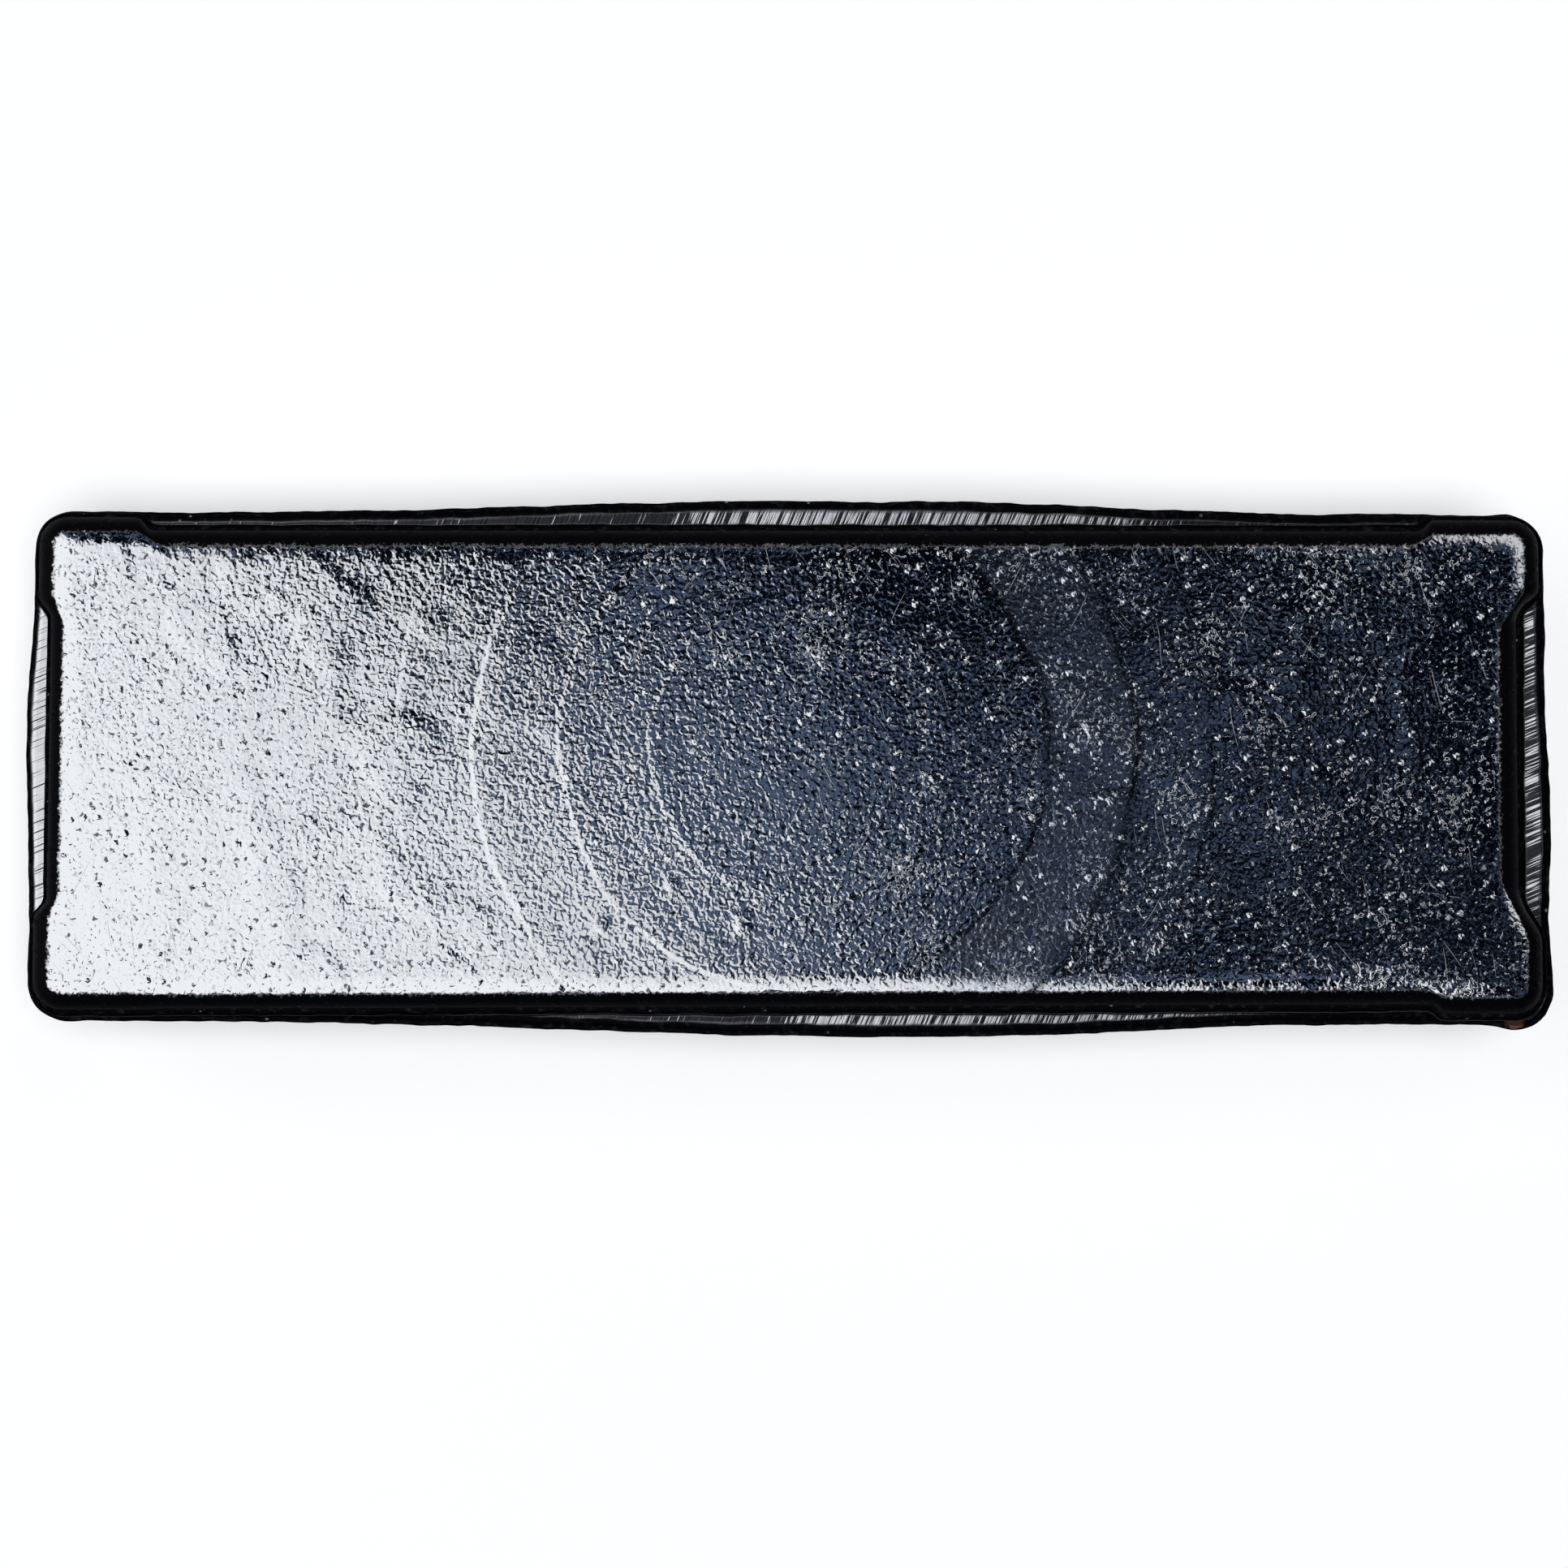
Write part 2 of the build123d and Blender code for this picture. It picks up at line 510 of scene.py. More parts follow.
def grainNode(tree, coords, scale, detail=2.0, rough=0.5, twist=0.0, flat=False):
    node = tree.nodes.new("ShaderNodeTexNoise")
    node.noise_dimensions = "2D" if flat else "3D"
    feed(tree, node.inputs["Vector"], coords)
    node.inputs["Scale"].default_value = scale
    node.inputs["Detail"].default_value = detail
    node.inputs["Roughness"].default_value = rough
    node.inputs["Distortion"].default_value = twist
    return node


def grain(tree, coords, scale, detail=2.0, rough=0.5, twist=0.0, flat=False):
    return grainNode(tree, coords, scale, detail, rough, twist, flat).outputs["Fac"]


def centred(tree, value):
    # noise about zero
    return maths(tree, "SUBTRACT", value, 0.5)


def placed(tree, coords, location=(0.0, 0.0, 0.0), turn=0.0, scale=(1.0, 1.0, 1.0)):
    node = tree.nodes.new("ShaderNodeMapping")
    node.vector_type = "TEXTURE"
    feed(tree, node.inputs["Vector"], coords)
    node.inputs["Location"].default_value = location
    node.inputs["Rotation"].default_value = (0.0, 0.0, turn)
    node.inputs["Scale"].default_value = scale
    return node.outputs["Vector"]


def pushed(tree, coords, reach, rate, detail):
    # coordinates led astray a little, so that nothing comes out round or straight
    astray = grainNode(tree, coords, rate, detail, flat=True)
    node = tree.nodes.new("ShaderNodeVectorMath")
    node.operation = "MULTIPLY_ADD"
    tree.links.new(astray.outputs["Color"], node.inputs[0])
    node.inputs[1].default_value = (reach, reach, 0.0)
    feed(tree, node.inputs[2], coords)
    return node.outputs["Vector"]


def specks(tree, coords, rate, leftOut, reach, flat=True):
    # a speck in some of the cells only, each of its own size
    spots = tree.nodes.new("ShaderNodeTexVoronoi")
    spots.voronoi_dimensions = "2D" if flat else "3D"
    feed(tree, spots.inputs["Vector"], coords)
    spots.inputs["Scale"].default_value = rate
    lots = tree.nodes.new("ShaderNodeSeparateColor")
    tree.links.new(spots.outputs["Color"], lots.inputs[0])
    size = ramped(tree, lots.outputs[0], leftOut, 1.0, 0.0, reach)
    least = 0.001  # an empty cell still needs a width to ramp over
    return ramped(tree, spots.outputs["Distance"], maths(tree, "ADD", size, least), 0.0)


def axes(tree, coords):
    node = tree.nodes.new("ShaderNodeSeparateXYZ")
    tree.links.new(coords, node.inputs[0])
    return node.outputs


def startMetal(name):
    # metal shader, place in mm and the three zones of the piece
    material = bpy.data.materials.new(name)
    material.use_nodes = True
    tree = material.node_tree
    shader = tree.nodes["Principled BSDF"]
    shader.inputs["Metallic"].default_value = 1.0
    where = tree.nodes.new("ShaderNodeTexCoord")
    scaled = tree.nodes.new("ShaderNodeVectorMath")
    scaled.operation = "SCALE"
    scaled.inputs["Scale"].default_value = 1.0 / toMetres
    tree.links.new(where.outputs["Object"], scaled.inputs[0])
    attribute = tree.nodes.new("ShaderNodeAttribute")
    attribute.attribute_name = "zones"
    zones = tree.nodes.new("ShaderNodeSeparateColor")
    tree.links.new(attribute.outputs["Color"], zones.inputs[0])
    return material, tree, shader, scaled.outputs["Vector"], zones.outputs


def finishMetal(tree, shader, height, colour, rough):
    bump = tree.nodes.new("ShaderNodeBump")
    bump.inputs["Strength"].default_value = 1.0
    bump.inputs["Distance"].default_value = toMetres  # heights are in mm
    tree.links.new(height, bump.inputs["Height"])
    tree.links.new(bump.outputs["Normal"], shader.inputs["Normal"])
    tree.links.new(colour, shader.inputs["Base Color"])
    tree.links.new(rough, shader.inputs["Roughness"])


# Finish of the poured face and the crown. Heights, widths and places are in mm, rates per mm.
faceFinish = {
    "silver": (0.91, 0.915, 0.925, 1.0),
    # painted blue reflection of the sky, where the metal is hazed
    "paintedSkyBlue": (0.53, 0.70, 0.98, 1.0),
    # painted shade in the deepest grain, and darker lines along the rings
    "pitShade": (0.14, 0.145, 0.16, 1.0),
    # painted shade over the rounding, where the dark room is mirrored
    "paintedShade": (0.009, 0.009, 0.011, 1.0),
    "rough": (0.035, 0.34),  # clear and hazed
    "paintedShadeRough": 0.5,
    "fine": (0.0112, 2.6),  # height, rate
    "coarse": (0.0045, 1.1),
    "strength": (0.3, 0.7, 0.8, 1.25),  # of the grain: noise from, to, then weakest, strongest
    "strengthRate": 0.09,
    "pits": (-0.22, -0.32),  # how deep in the fine grain the painted shade lies
    "salt": (0.25, 0.33),  # how high in it the metal is rubbed dull
    # heavier grain at the back left: height, its span in y and in x
    "lumpy": (0.0085, 2.0, 15.0, -18.0, -38.0),
    "warp": (0.32, 2.4, 1.0),  # reach, rate, detail
    "warpTurn": 0.6,
    # rate, share of cells left out, reach, height: crumbs and pits
    "specks": ((1.05, 0.72, 0.30, 0.034), (2.1, 0.79, 0.28, -0.011)),
    "ragged": (0.085, 1.45),  # facets of the ragged marks: height, rate
    "flecks": (2.6, 0.08, 0.030),  # rate, span, height
    "fleckStart": (-35.0, 25.0, 0.78, 0.715),  # from and to in x, then the start at each
    "fleckPatches": (0.16, 0.58, 0.15),  # rate, how far patches and ragged marks shift the start
    "ringCentre": (1.25, 1.25),
    "rings": ((11.9, 0.5), (18.8, 0.8), (25.4, 1.0), (31.4, 0.5)),  # radius, strength
    "ringStep": 0.015,  # drop at each ring, going out
    "ringWidth": 0.24,
    "ringWaver": (0.16, 0.7),  # rate, reach
    "ringShown": (0.33, 0.52, 0.45, 1.0),  # noise from, to, then faintest, clearest
    "ringShownRate": 0.12,
    "ringLines": 0.5,  # dark lines along the rings on the right
    "ringLine": (0.8, 0.1),  # half width of those lines, where they are full
    "bandSpan": (8.0, 15.0),  # where bands and lines start and are full, in x
    "hazeAndSkyBlue": (0.64, 0.76),  # where in the speckle it starts and is full
    "speckleRate": 3.7,
    "hazePatches": (0.35, 0.65, 0.35, 1.0),  # noise from, to, then least, most
    "hazePatchRate": 0.11,
    "hazeBands": ((18.8, 25.4, 0.22), (25.4, 31.4, 0.10)),  # from ring to ring, more haze and more painted blue reflection
    "bandEdge": 0.5,
    "bend": (0.6, 0.25, 0.0),  # of the lines: reach, rate, detail
    "broken": (0.35, 0.6),  # noise where a scratch breaks off and is whole
    "brokenRate": 1.2,
    # turn in degrees, length, width, where it starts, where it is full: rubbed hairlines
    "hairlines": (
        (101.0, 7.0, 0.12, 0.86, 0.92),
        (62.0, 6.0, 0.12, 0.88, 0.93),
        (128.0, 5.0, 0.12, 0.87, 0.92),
    ),
    # x, y, turn in degrees, half length, half width
    "scratches": (
        (40.2, 1.6, 94.0, 3.4, 0.05),
        (52.6, 8.8, 109.0, 2.7, 0.05),
        (51.1, 3.4, 0.0, 1.5, 0.045),
        (45.9, 14.2, 118.0, 2.2, 0.04),
        (31.0, 9.5, 112.0, 3.5, 0.04),
        (50.8, -3.6, 125.0, 2.0, 0.04),
        (50.0, -9.9, -4.0, 2.6, 0.04),
    ),
    "scratchEnd": (1.0, 0.7),  # shares of its length and width where it fades
    "scratchEdge": (1.3, 0.3),
    "torn": (1.0, 0.4),  # how far speckle and coarse grain tear the edge of the painted shade
    "tornSpan": (0.28, 0.72),
    "tornStart": (0.0, 0.12),
}


def makePouredFace(finish):
    material, tree, shader, mm, (ragged, paintedShade, _) = startMetal("pouredFace")
    x, y, _ = axes(tree, mm)

    # leathery grain, heavier at the back left
    fineHeight, fineRate = finish["fine"]
    coarseHeight, coarseRate = finish["coarse"]
    uneven = grain(tree, mm, finish["strengthRate"], detail=1.0, flat=True)
    strength = ramped(tree, uneven, *finish["strength"])
    fine = centred(tree, grain(tree, mm, fineRate, detail=0.3, twist=0.5, flat=True))
    coarse = centred(tree, grain(tree, mm, coarseRate, detail=1.0, twist=0.3, flat=True))
    height = maths(tree, "MULTIPLY", fine, fineHeight)
    height = maths(tree, "MULTIPLY_ADD", coarse, coarseHeight, height)
    height = maths(tree, "MULTIPLY", height, strength)
    lumpHeight, yStart, yFull, xStart, xFull = finish["lumpy"]
    lumpy = maths(tree, "MULTIPLY", ramped(tree, y, yStart, yFull), ramped(tree, x, xStart, xFull))
    lumpy = maths(tree, "MULTIPLY", lumpy, coarse)
    height = maths(tree, "MULTIPLY_ADD", lumpy, lumpHeight, height)

    # crumbs and pits, and the facets of the ragged marks
    strayed = pushed(tree, placed(tree, mm, turn=finish["warpTurn"]), *finish["warp"])
    for rate, leftOut, reach, amount in finish["specks"]:
        spots = specks(tree, strayed, rate, leftOut, reach)
        height = maths(tree, "MULTIPLY_ADD", spots, amount, height)
    facetHeight, facetRate = finish["ragged"]
    facets = centred(tree, grain(tree, mm, facetRate, detail=0.7, twist=1.0, flat=True))
    facets = maths(tree, "MULTIPLY", facets, ragged)
    height = maths(tree, "MULTIPLY_ADD", facets, facetHeight, height)

    # torn flecks
    fleckRate, fleckSpan, fleckHeight = finish["flecks"]
    patchRate, patchShift, raggedShift = finish["fleckPatches"]
    patches = centred(tree, grain(tree, mm, patchRate, rough=0.6, flat=True))
    fleckStart = ramped(tree, x, *finish["fleckStart"])
    fleckStart = maths(tree, "MULTIPLY_ADD", patches, patchShift, fleckStart)
    fleckStart = maths(tree, "MULTIPLY_ADD", ragged, -raggedShift, fleckStart)
    fleckFull = maths(tree, "ADD", fleckStart, fleckSpan)
    shreds = grain(tree, strayed, fleckRate, detail=1.0, flat=True)
    flecks = ramped(tree, shreds, fleckStart, fleckFull)
    height = maths(tree, "MULTIPLY_ADD", flecks, fleckHeight, height)

    # low steps of the setting rings, with darker lines along them on the right
    centreX, centreY = finish["ringCentre"]
    waverRate, waverReach = finish["ringWaver"]
    offX = maths(tree, "SUBTRACT", x, centreX)
    offY = maths(tree, "SUBTRACT", y, centreY)
    square = maths(tree, "MULTIPLY_ADD", offX, offX, maths(tree, "MULTIPLY", offY, offY))
    waver = grain(tree, mm, waverRate, detail=0.0, flat=True)
    waver = maths(tree, "MULTIPLY_ADD", waver, waverReach, -waverReach / 2.0)
    away = maths(tree, "ADD", maths(tree, "SQRT", square), waver)
    shown = grain(tree, mm, finish["ringShownRate"], detail=1.0, flat=True)
    shown = ramped(tree, shown, *finish["ringShown"])
    half = finish["ringWidth"]
    onRight = ramped(tree, x, *finish["bandSpan"])
    ringLines = 0.0
    for radius, strong in finish["rings"]:
        step = maths(tree, "MULTIPLY", ramped(tree, away, radius - half, radius + half), shown)
        height = maths(tree, "MULTIPLY_ADD", step, -strong * finish["ringStep"], height)
        line = maths(tree, "ABSOLUTE", maths(tree, "SUBTRACT", away, radius))
        line = ramped(tree, line, *finish["ringLine"])
        ringLines = maths(tree, "MULTIPLY_ADD", line, strong * finish["ringLines"], ringLines)
    ringLines = maths(tree, "MULTIPLY", maths(tree, "MULTIPLY", ringLines, onRight), shown)

    # fine haze, in patches and in bands between the rings; it also carries the painted blue
    # reflection of the sky
    speckle = grain(tree, mm, finish["speckleRate"], rough=0.65, flat=True)
    clouds = grain(tree, mm, finish["hazePatchRate"], rough=0.6, flat=True)
    clouds = ramped(tree, clouds, *finish["hazePatches"])
    hazeAndSkyBlue = maths(tree, "MULTIPLY", ramped(tree, speckle, *finish["hazeAndSkyBlue"]), clouds)
    edge = finish["bandEdge"]
    for inner, outer, amount in finish["hazeBands"]:
        band = ramped(tree, away, inner - edge, inner + edge)
        band = maths(tree, "MULTIPLY", band, ramped(tree, away, outer + edge, outer - edge))
        band = maths(tree, "MULTIPLY", band, onRight)
        hazeAndSkyBlue = maths(tree, "MULTIPLY_ADD", band, amount, hazeAndSkyBlue)

    # hairlines and scratches, a little bent and broken
    bent = pushed(tree, mm, *finish["bend"])
    shift = finish["bend"][0] / 2.0  # the bend moves them by half its reach
    broken = grain(tree, mm, finish["brokenRate"], detail=1.0, flat=True)
    broken = ramped(tree, broken, *finish["broken"])
    rubbed = 0.0
    for turn, length, width, start, full in finish["hairlines"]:
        drawn = placed(tree, bent, turn=math.radians(turn), scale=(length, width, 1.0))
        line = ramped(tree, grain(tree, drawn, 1.0, detail=0.0, flat=True), start, full)
        rubbed = maths(tree, "MAXIMUM", line, rubbed)
    for spotX, spotY, turn, halfLength, halfWidth in finish["scratches"]:
        spot = placed(tree, bent, (spotX + shift, spotY + shift, 0.0), math.radians(turn),
                      (halfLength, halfWidth, 1.0))
        runAlong, runAcross, _ = axes(tree, spot)
        line = maths(tree, "MULTIPLY",
                     ramped(tree, maths(tree, "ABSOLUTE", runAlong), *finish["scratchEnd"]),
                     ramped(tree, maths(tree, "ABSOLUTE", runAcross), *finish["scratchEdge"]))
        rubbed = maths(tree, "MAXIMUM", maths(tree, "MULTIPLY", line, broken), rubbed)

    # painted blue reflection of the sky in the haze, painted shade in the deepest grain, darker
    # lines along the rings, and painted shade with a torn edge over the rounding
    colour = mixed(tree, hazeAndSkyBlue, finish["silver"], finish["paintedSkyBlue"])
    pitShadeAndRingLines = maths(tree, "MAXIMUM", ramped(tree, fine, *finish["pits"]), ringLines)
    colour = mixed(tree, pitShadeAndRingLines, colour, finish["pitShade"])
    tornFine, tornCoarse = finish["torn"]
    torn = maths(tree, "MULTIPLY_ADD", centred(tree, speckle), tornFine, paintedShade)
    torn = maths(tree, "MULTIPLY_ADD", coarse, tornCoarse, torn)
    skin = maths(tree, "MULTIPLY", ramped(tree, torn, *finish["tornSpan"]),
                 ramped(tree, paintedShade, *finish["tornStart"]))
    colour = mixed(tree, skin, colour, finish["paintedShade"])

    clear, dull = finish["rough"]
    scattered = maths(tree, "MAXIMUM", hazeAndSkyBlue, rubbed)
    scattered = maths(tree, "MAXIMUM", scattered, ramped(tree, fine, *finish["salt"]))
    rough = maths(tree, "MULTIPLY_ADD", scattered, dull - clear, clear)
    rough = maths(tree, "MULTIPLY_ADD", skin, finish["paintedShadeRough"] - clear, rough, clamp=True)
    finishMetal(tree, shader, height, colour, rough)
    return material


# Finish of the ledges, the lip and the sides, in the same units.
skinFinish = {
    # the next two: painted highlights and painted shade along the file marks on the ledges
    "ledge": (0.92, 0.92, 0.93, 1.0),
    "ledgeCutShade": (0.035, 0.035, 0.042, 1.0),
    "light": (0.58, 0.585, 0.595, 1.0),
    "dark": (0.33, 0.334, 0.344, 1.0),
    "rubbed": (0.66, 0.665, 0.675, 1.0),
    # painted shade in the pits
    "pitShade": (0.10, 0.10, 0.105, 1.0),
    # painted shade over the wall and lip, and its paler mottle
    "paintedShade": (0.008, 0.008, 0.010, 1.0),
    "paintedShadePale": (0.034, 0.033, 0.034, 1.0),
    "chipped": (0.40, 0.40, 0.41, 1.0),
    "tarnish": (0.24, 0.125, 0.095, 1.0),
    "tarnishPlace": (55.9, -19.5, 18.7),
    "tarnishSpan": (1.35, 0.95),  # radius of the blot, where it is full
    "tarnishTorn": 0.9,
    "edgeTint": (0.1, 0.1, 0.1, 1.0),  # the skin stays dark when seen along it
    "ledgeRough": 0.22,
    "sideRough": 0.26,
    "dragRough": -0.1,  # added where the mould rubbed
    "paintedShadeRough": 0.46,
    # marks across the ledges: pitch on the sides and on the ends, length, slant
    "cuts": (0.16, 0.13, 5.0, -0.4),
    "cutDepth": 0.03,
    # middle of the marks at the front and the back, half length where they are full and gone
    "cutSpan": (17.0, 9.4, 13.0, 24.0),
    "cutSides": (-1.0, 1.0),  # from front to back, in y
    "cutEnds": (56.0, 56.4),  # where the ends start and are full, in x
    "cutLevels": (0.66, -0.21, -0.30, -0.13),  # threshold of the painted highlights in the marks: unmarked, marked, left end, right end
    "cutEdge": 0.05,
    "sand": (0.02, 2.8),  # height, rate
    "swells": (0.09, 0.5),
    "flows": (0.07, 11.0, 1.4),  # height, length and spacing of the ripples it set in
    "drags": (0.012, 0.35, 14.0),  # height, width and length of the marks from the mould
    "dragSpan": (0.60, 0.74),
    "pits": (-0.08, 0.9, 0.80, 0.26),  # height, rate, share of cells left out, reach
    "cloudRate": 0.13,
    "tone": (0.4, 0.25, 0.35),  # weights of sand, cloud and flows
    "toneSpan": (0.34, 0.66),
    "shares": (0.4, 0.7),  # of the rubbed colour in the drags, of the painted shade in the pits
    "torn": (0.7, 0.9),  # how far sand and swells tear the edge of the painted shade
    "tornSpan": (0.12, 0.95),
    "mottle": (0.5, 0.74),  # noise from, to, where the painted shade is paler
    "mottleRate": 1.5,
    "chips": (1.25, 0.86, 0.24),  # rate, share of cells left out, reach
}


def makeMouldSkin(finish):
    material, tree, shader, mm, (ledge, paintedShade, side) = startMetal("mouldSkin")
    x, y, _ = axes(tree, mm)

    # file marks across the ledges, dense along the middle of the sides, with painted highlights and
    # painted shade along them
    pitch, endPitch, length, slant = finish["cuts"]
    overSides = placed(tree, mm, turn=slant, scale=(pitch, length, length))
    overEnds = placed(tree, mm, turn=-slant, scale=(length, endPitch, length))
    sideCuts = grain(tree, overSides, 1.0, detail=1.5, rough=0.6)
    endCuts = grain(tree, overEnds, 1.0, detail=1.5, rough=0.6)
    endStart, endFull = finish["cutEnds"]
    onLeft, onRight = ramped(tree, x, -endStart, -endFull), ramped(tree, x, endStart, endFull)
    onEnds = maths(tree, "ADD", onLeft, onRight)
    onSides = maths(tree, "SUBTRACT", 1.0, onEnds)
    cuts = maths(tree, "MULTIPLY_ADD", endCuts, onEnds, maths(tree, "MULTIPLY", sideCuts, onSides))
    frontMiddle, backMiddle, full, gone = finish["cutSpan"]
    middle = ramped(tree, y, *finish["cutSides"], frontMiddle, backMiddle)
    offMiddle = maths(tree, "ABSOLUTE", maths(tree, "SUBTRACT", x, middle))
    marked = maths(tree, "MULTIPLY", ramped(tree, offMiddle, gone, full), onSides)
    level, markedShift, leftShift, rightShift = finish["cutLevels"]
    for share, shift in ((marked, markedShift), (onLeft, leftShift), (onRight, rightShift)):
        level = maths(tree, "MULTIPLY_ADD", share, shift, level)
    lit = ramped(tree, cuts, level, maths(tree, "ADD", level, finish["cutEdge"]))
    height = maths(tree, "MULTIPLY", maths(tree, "MULTIPLY", cuts, ledge), finish["cutDepth"])

    # cast skin of the sides: sand, swells, ripples, marks from the mould, pits
    sandHeight, sandRate = finish["sand"]
    swellHeight, swellRate = finish["swells"]
    flowHeight, flowLength, flowSpan = finish["flows"]
    dragHeight, dragWidth, dragLength = finish["drags"]
    pitHeight, *pitKind = finish["pits"]
    sand = grain(tree, mm, sandRate, detail=3.0, rough=0.62)
    cloud = grain(tree, mm, finish["cloudRate"], rough=0.55)
    swells = grain(tree, mm, swellRate)
    alongFlow = placed(tree, mm, scale=(flowLength, flowLength, flowSpan))
    flows = grain(tree, alongFlow, 1.0, twist=0.3)
    alongDrag = placed(tree, mm, scale=(dragWidth, dragWidth, dragLength))
    drag = grain(tree, alongDrag, 1.0, detail=1.0)
    dragged = ramped(tree, drag, *finish["dragSpan"])
    pits = specks(tree, mm, *pitKind, flat=False)
    skin = maths(tree, "MULTIPLY", sand, sandHeight)
    for relief, amount in ((swells, swellHeight), (flows, flowHeight),
                           (drag, dragHeight), (pits, pitHeight)):
        skin = maths(tree, "MULTIPLY_ADD", relief, amount, skin)
    height = maths(tree, "MULTIPLY_ADD", skin, side, height)

    sandTone, cloudTone, flowTone = finish["tone"]
    rubbedShare, pitShadeShare = finish["shares"]
    tone = maths(tree, "MULTIPLY", sand, sandTone)
    tone = maths(tree, "MULTIPLY_ADD", cloud, cloudTone, tone)
    tone = maths(tree, "MULTIPLY_ADD", flows, flowTone, tone)
    colour = mixed(tree, ramped(tree, tone, *finish["toneSpan"]), finish["dark"], finish["light"])
    colour = mixed(tree, maths(tree, "MULTIPLY", dragged, rubbedShare), colour, finish["rubbed"])
    # painted shade in the pits
    colour = mixed(tree, maths(tree, "MULTIPLY", pits, pitShadeShare), colour, finish["pitShade"])
    # painted highlights and painted shade of the file marks on the ledges
    colour = mixed(tree, ledge, colour, mixed(tree, lit, finish["ledgeCutShade"], finish["ledge"]))

    # painted shade, torn where it runs out on the sides, with a few chips of bare metal
    tornSand, tornSwells = finish["torn"]
    torn = maths(tree, "MULTIPLY_ADD", swells, tornSwells, -tornSwells / 2.0)
    torn = maths(tree, "MULTIPLY_ADD", centred(tree, sand), tornSand, torn)
    shade = maths(tree, "MULTIPLY_ADD", torn, side, paintedShade)
    shade = ramped(tree, shade, *finish["tornSpan"])
    mottle = grain(tree, mm, finish["mottleRate"], detail=3.0, rough=0.65)
    mottle = ramped(tree, mottle, *finish["mottle"])
    dark = mixed(tree, mottle, finish["paintedShade"], finish["paintedShadePale"])
    dark = mixed(tree, specks(tree, mm, *finish["chips"], flat=False), dark, finish["chipped"])
    colour = mixed(tree, shade, colour, dark)
    spot = tree.nodes.new("ShaderNodeVectorMath")
    spot.operation = "DISTANCE"
    tree.links.new(mm, spot.inputs[0])
    spot.inputs[1].default_value = finish["tarnishPlace"]
    blot = maths(tree, "MULTIPLY_ADD", sand, finish["tarnishTorn"], spot.outputs["Value"])
    colour = mixed(tree, ramped(tree, blot, *finish["tarnishSpan"]), colour, finish["tarnish"])

    shader.inputs["Specular Tint"].default_value = finish["edgeTint"]
    sideRough = finish["sideRough"]
    rubbed = maths(tree, "MULTIPLY", dragged, side)
    rough = maths(tree, "MULTIPLY_ADD", ledge, finish["ledgeRough"] - sideRough, sideRough)
    rough = maths(tree, "MULTIPLY_ADD", rubbed, finish["dragRough"], rough)
    rough = maths(tree, "MULTIPLY_ADD", shade, finish["paintedShadeRough"] - sideRough, rough)
    finishMetal(tree, shader, height, colour, rough)
    return material


bar = makeBar(barForm, faceRelief)
bar.data.materials.append(makePouredFace(faceFinish))
bar.data.materials.append(makeMouldSkin(skinFinish))
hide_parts("ingot")
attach(bar, "root")
print("bar:", len(bar.data.vertices), "vertices")


# Plain pale floor, in metres.
floorLook = {"half": 3.0, "drop": 0.00002, "colour": (0.92, 0.92, 0.92, 1.0), "rough": 0.9}


def makeFloor(look):
    bm = bmesh.new()
    bmesh.ops.create_grid(bm, x_segments=1, y_segments=1, size=look["half"])
    bmesh.ops.translate(bm, vec=(0.0, 0.0, -look["drop"]), verts=bm.verts)
    mesh = bpy.data.meshes.new("paleFloor")
    bm.to_mesh(mesh)
    bm.free()
    material = bpy.data.materials.new("palePaper")
    material.use_nodes = True
    shader = material.node_tree.nodes["Principled BSDF"]
    shader.inputs["Base Color"].default_value = look["colour"]
    shader.inputs["Roughness"].default_value = look["rough"]
    shader.inputs["Specular IOR Level"].default_value = 0.0
    mesh.materials.append(material)
    floor = bpy.data.objects.new("paleFloor", mesh)
    scene.collection.objects.link(floor)


makeFloor(floorLook)
print("floor laid")


# One broad soft panel up on the left, smaller windows round the room, a dim right side and
# a pale horizon. Places in the room are given by slope: how far out, to the right and to
# the back, for each step up.
roomLight = {
    "panel": (0.93, 0.945, 0.97, 1.0),
    "panelFacing": (-0.79, -0.61),
    "panelEdge": (-0.008, 0.014),
    "panelGlow": (0.0, 0.11, 0.73, 1.0),  # it brightens away from its edge
    "panelFar": (-1.35, -0.95),
    "panelBack": (0.60, 0.40),
    "panelBend": 0.32,  # its edge swings left towards the front
    "panelFront": (-0.40, -0.33),
    "dim": (0.0012, 0.0018, 0.0035, 1.0),
    "mottle": (0.060, 0.087, 0.145, 1.0),  # the dim side is mottled
    "mottleRate": 9.0,
    "mottleShare": (0.43, 0.66),
    "mottleFade": (-0.28, -0.03, 0.5, 1.0),
    "horizon": (1.0, 1.0, 1.0, 1.0),
    "horizonRise": (0.16, 0.10),
    "horizonLift": (0.2, 0.8, 0.0, 0.09),  # it stands higher at the back and on the left
    "leastRise": 0.02,  # keeps the slopes finite at the horizon
    # strength, then soft edges: weight of right and back, where it starts, where it is full
    "windows": (
        (0.60, ((1, 0, 0.09, 0.17), (0, 1, 0.08, 0.13), (1, 1, 0.40, 0.52), (1, 1, 1.4, 1.0))),
        (0.80, ((1, 0, -1.35, -1.9), (0, 1, 0.8, 1.2))),
        (0.80, ((1, 0, 2.4, 3.4), (0, 1, -1.5, -2.2))),
    ),
    "sunStrength": 2.7,
    "sunSpread": 25.0,  # degrees
    "sunTilt": (6.0, 4.0),
}


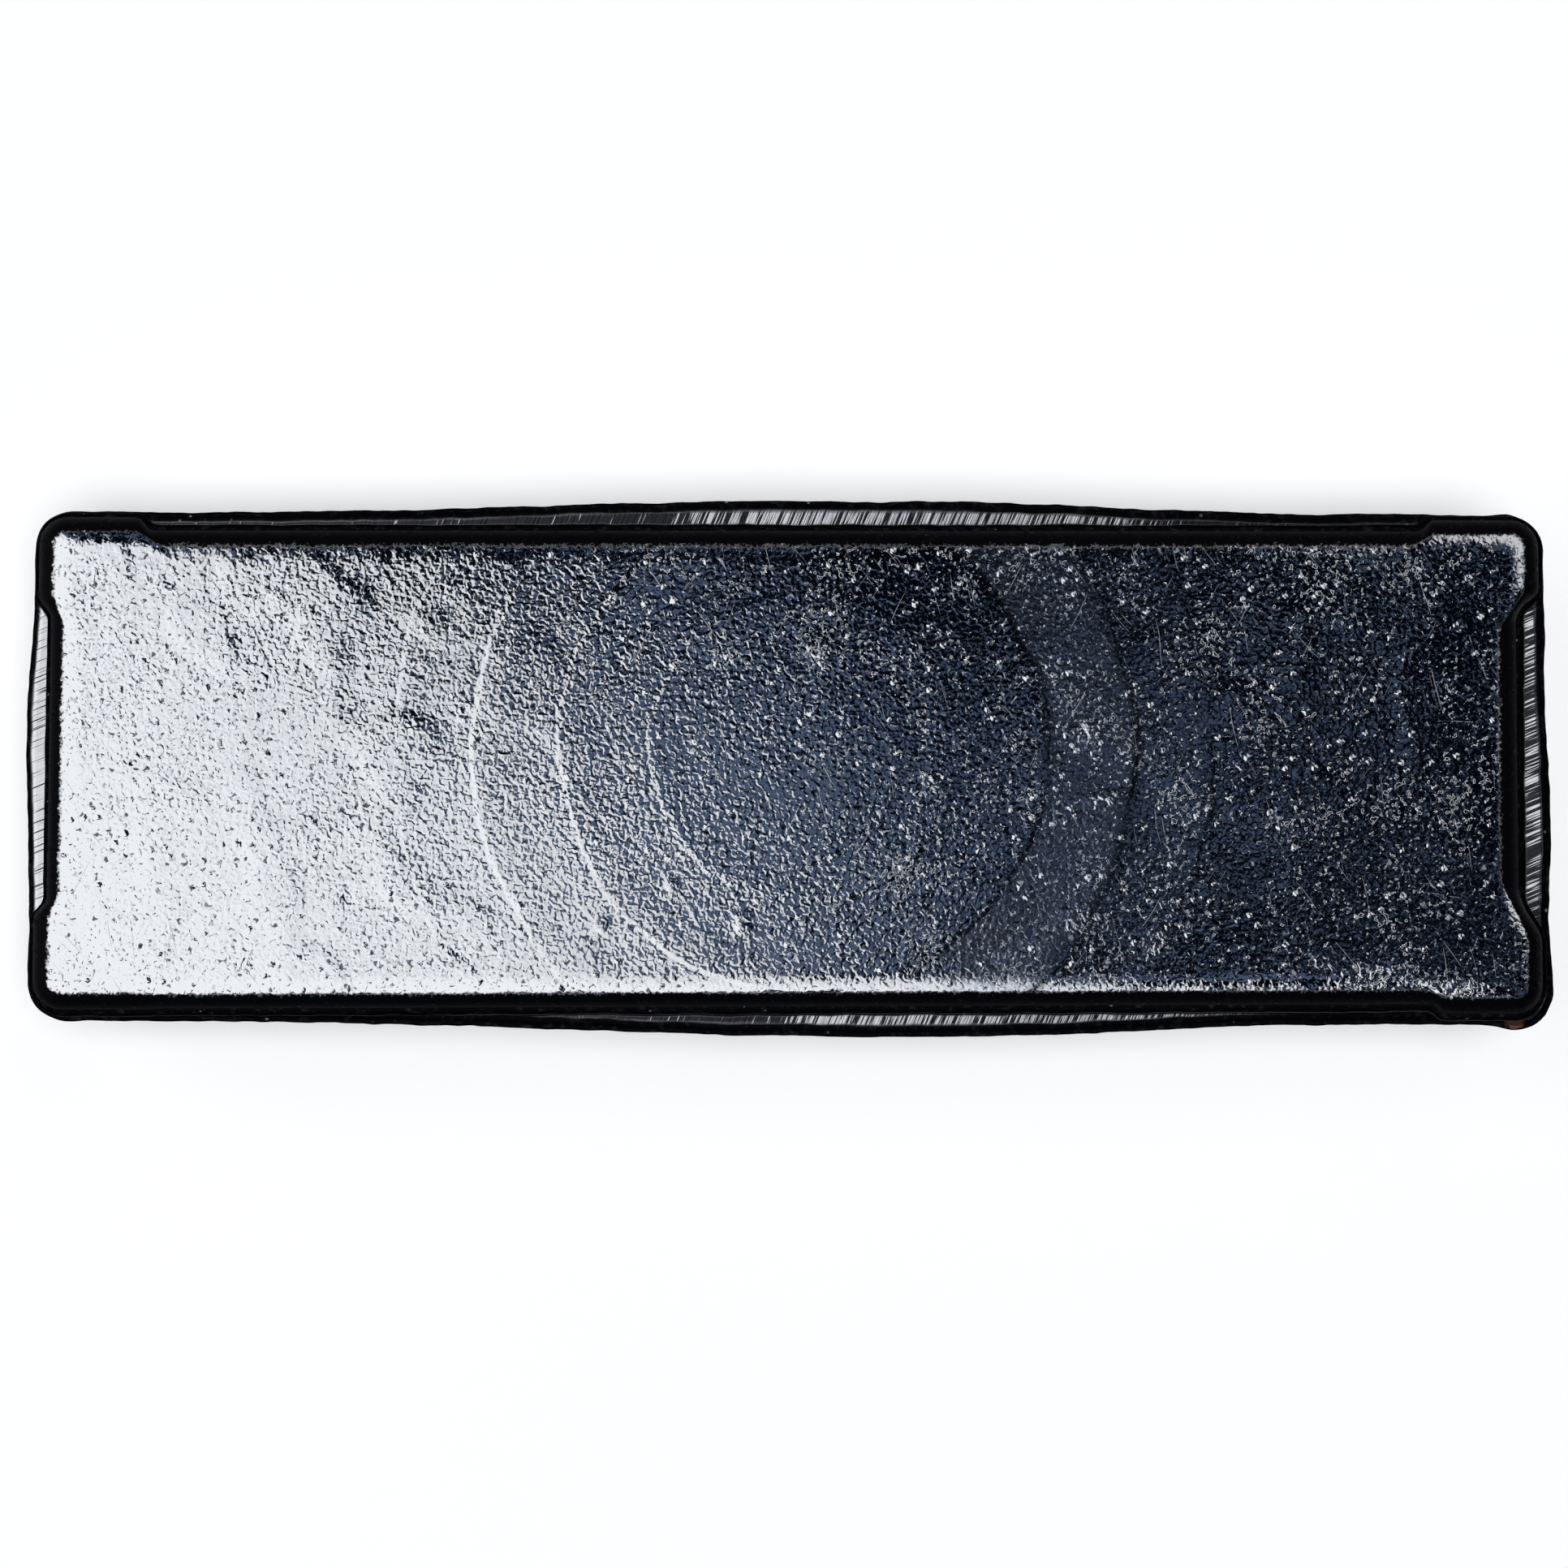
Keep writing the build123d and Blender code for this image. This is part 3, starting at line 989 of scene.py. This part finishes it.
def makeLight(light):
    world = bpy.data.worlds.new("studioRoom")
    world.use_nodes = True
    scene.world = world
    tree = world.node_tree
    back = tree.nodes["Background"]
    where = tree.nodes.new("ShaderNodeTexCoord")
    x, y, z = axes(tree, where.outputs["Generated"])
    rise = maths(tree, "MAXIMUM", z, light["leastRise"])
    slopeX = maths(tree, "DIVIDE", x, rise)
    slopeY = maths(tree, "DIVIDE", y, rise)

    def along(right, backward):
        return maths(tree, "MULTIPLY_ADD", slopeX, right, maths(tree, "MULTIPLY", slopeY, backward))

    # the panel, with the mottled dim side beyond its edge
    frontward = maths(tree, "MAXIMUM", maths(tree, "MULTIPLY", slopeY, -1.0), 0.0)
    lean = maths(tree, "MULTIPLY_ADD", frontward, -light["panelBend"], along(*light["panelFacing"]))
    panel = ramped(tree, lean, *light["panelEdge"])
    for slope, name in ((lean, "panelGlow"), (slopeX, "panelFar"),
                        (slopeY, "panelFront"), (slopeY, "panelBack")):
        panel = maths(tree, "MULTIPLY", panel, ramped(tree, slope, *light[name]))
    slopes = tree.nodes.new("ShaderNodeCombineXYZ")
    tree.links.new(slopeX, slopes.inputs[0])
    tree.links.new(slopeY, slopes.inputs[1])
    mottle = grain(tree, slopes.outputs[0], light["mottleRate"], detail=0.0, flat=True)
    mottle = maths(tree, "MULTIPLY", ramped(tree, mottle, *light["mottleShare"]),
                   ramped(tree, lean, *light["mottleFade"]))
    colour = mixed(tree, mottle, light["dim"], light["mottle"])
    colour = mixed(tree, panel, colour, light["panel"])

    # windows and horizon
    for strength, edges in light["windows"]:
        window = strength
        for right, backward, start, full in edges:
            edge = ramped(tree, along(right, backward), start, full)
            window = maths(tree, "MULTIPLY", edge, window)
        colour = mixed(tree, window, colour, light["panel"])
    lift = ramped(tree, maths(tree, "SUBTRACT", y, x), *light["horizonLift"])
    level = maths(tree, "SUBTRACT", z, lift)
    colour = mixed(tree, ramped(tree, level, *light["horizonRise"]), colour, light["horizon"])
    tree.links.new(colour, back.inputs["Color"])
    back.inputs["Strength"].default_value = 1.0

    sun = bpy.data.lights.new("floorLight", "SUN")
    sun.energy = light["sunStrength"]
    sun.angle = math.radians(light["sunSpread"])
    lamp = bpy.data.objects.new("floorLight", sun)
    tiltX, tiltY = (math.radians(angle) for angle in light["sunTilt"])
    lamp.rotation_euler = (tiltX, tiltY, 0.0)
    lamp.visible_glossy = False  # lights the floor, leaves the metal to the room
    scene.collection.objects.link(lamp)


makeLight(roomLight)
print("room lit")


# Camera looking straight down, a little from the front.
cameraPlace = {
    "aim": (-0.27, -1.33, 18.0),  # mm
    "lean": (0.38, -4.35),  # degrees
    "height": 330.0,
    "roll": 0.18,
    "lens": 98.27,
    "sensor": 36.0,
    "clip": (0.01, 20.0),  # metres
}


def makeCamera(place):
    leanX, leanY = (math.sin(math.radians(angle)) for angle in place["lean"])
    back = Vector((leanX, leanY, math.sqrt(1.0 - leanX ** 2 - leanY ** 2)))
    data = bpy.data.cameras.new("photoCamera")
    data.sensor_width = place["sensor"]
    data.lens = place["lens"]
    data.clip_start, data.clip_end = place["clip"]
    camera = bpy.data.objects.new("photoCamera", data)
    camera.location = (Vector(place["aim"]) + back * (place["height"] / back.z)) * toMetres
    right = Vector((0.0, 1.0, 0.0)).cross(back).normalized()
    up = back.cross(right).normalized()
    turn = math.radians(place["roll"])
    turnedRight = right * math.cos(turn) + up * math.sin(turn)
    turnedUp = up * math.cos(turn) - right * math.sin(turn)
    camera.rotation_euler = Matrix((turnedRight, turnedUp, back)).transposed().to_euler()
    scene.collection.objects.link(camera)
    scene.camera = camera


makeCamera(cameraPlace)
print("camera set")
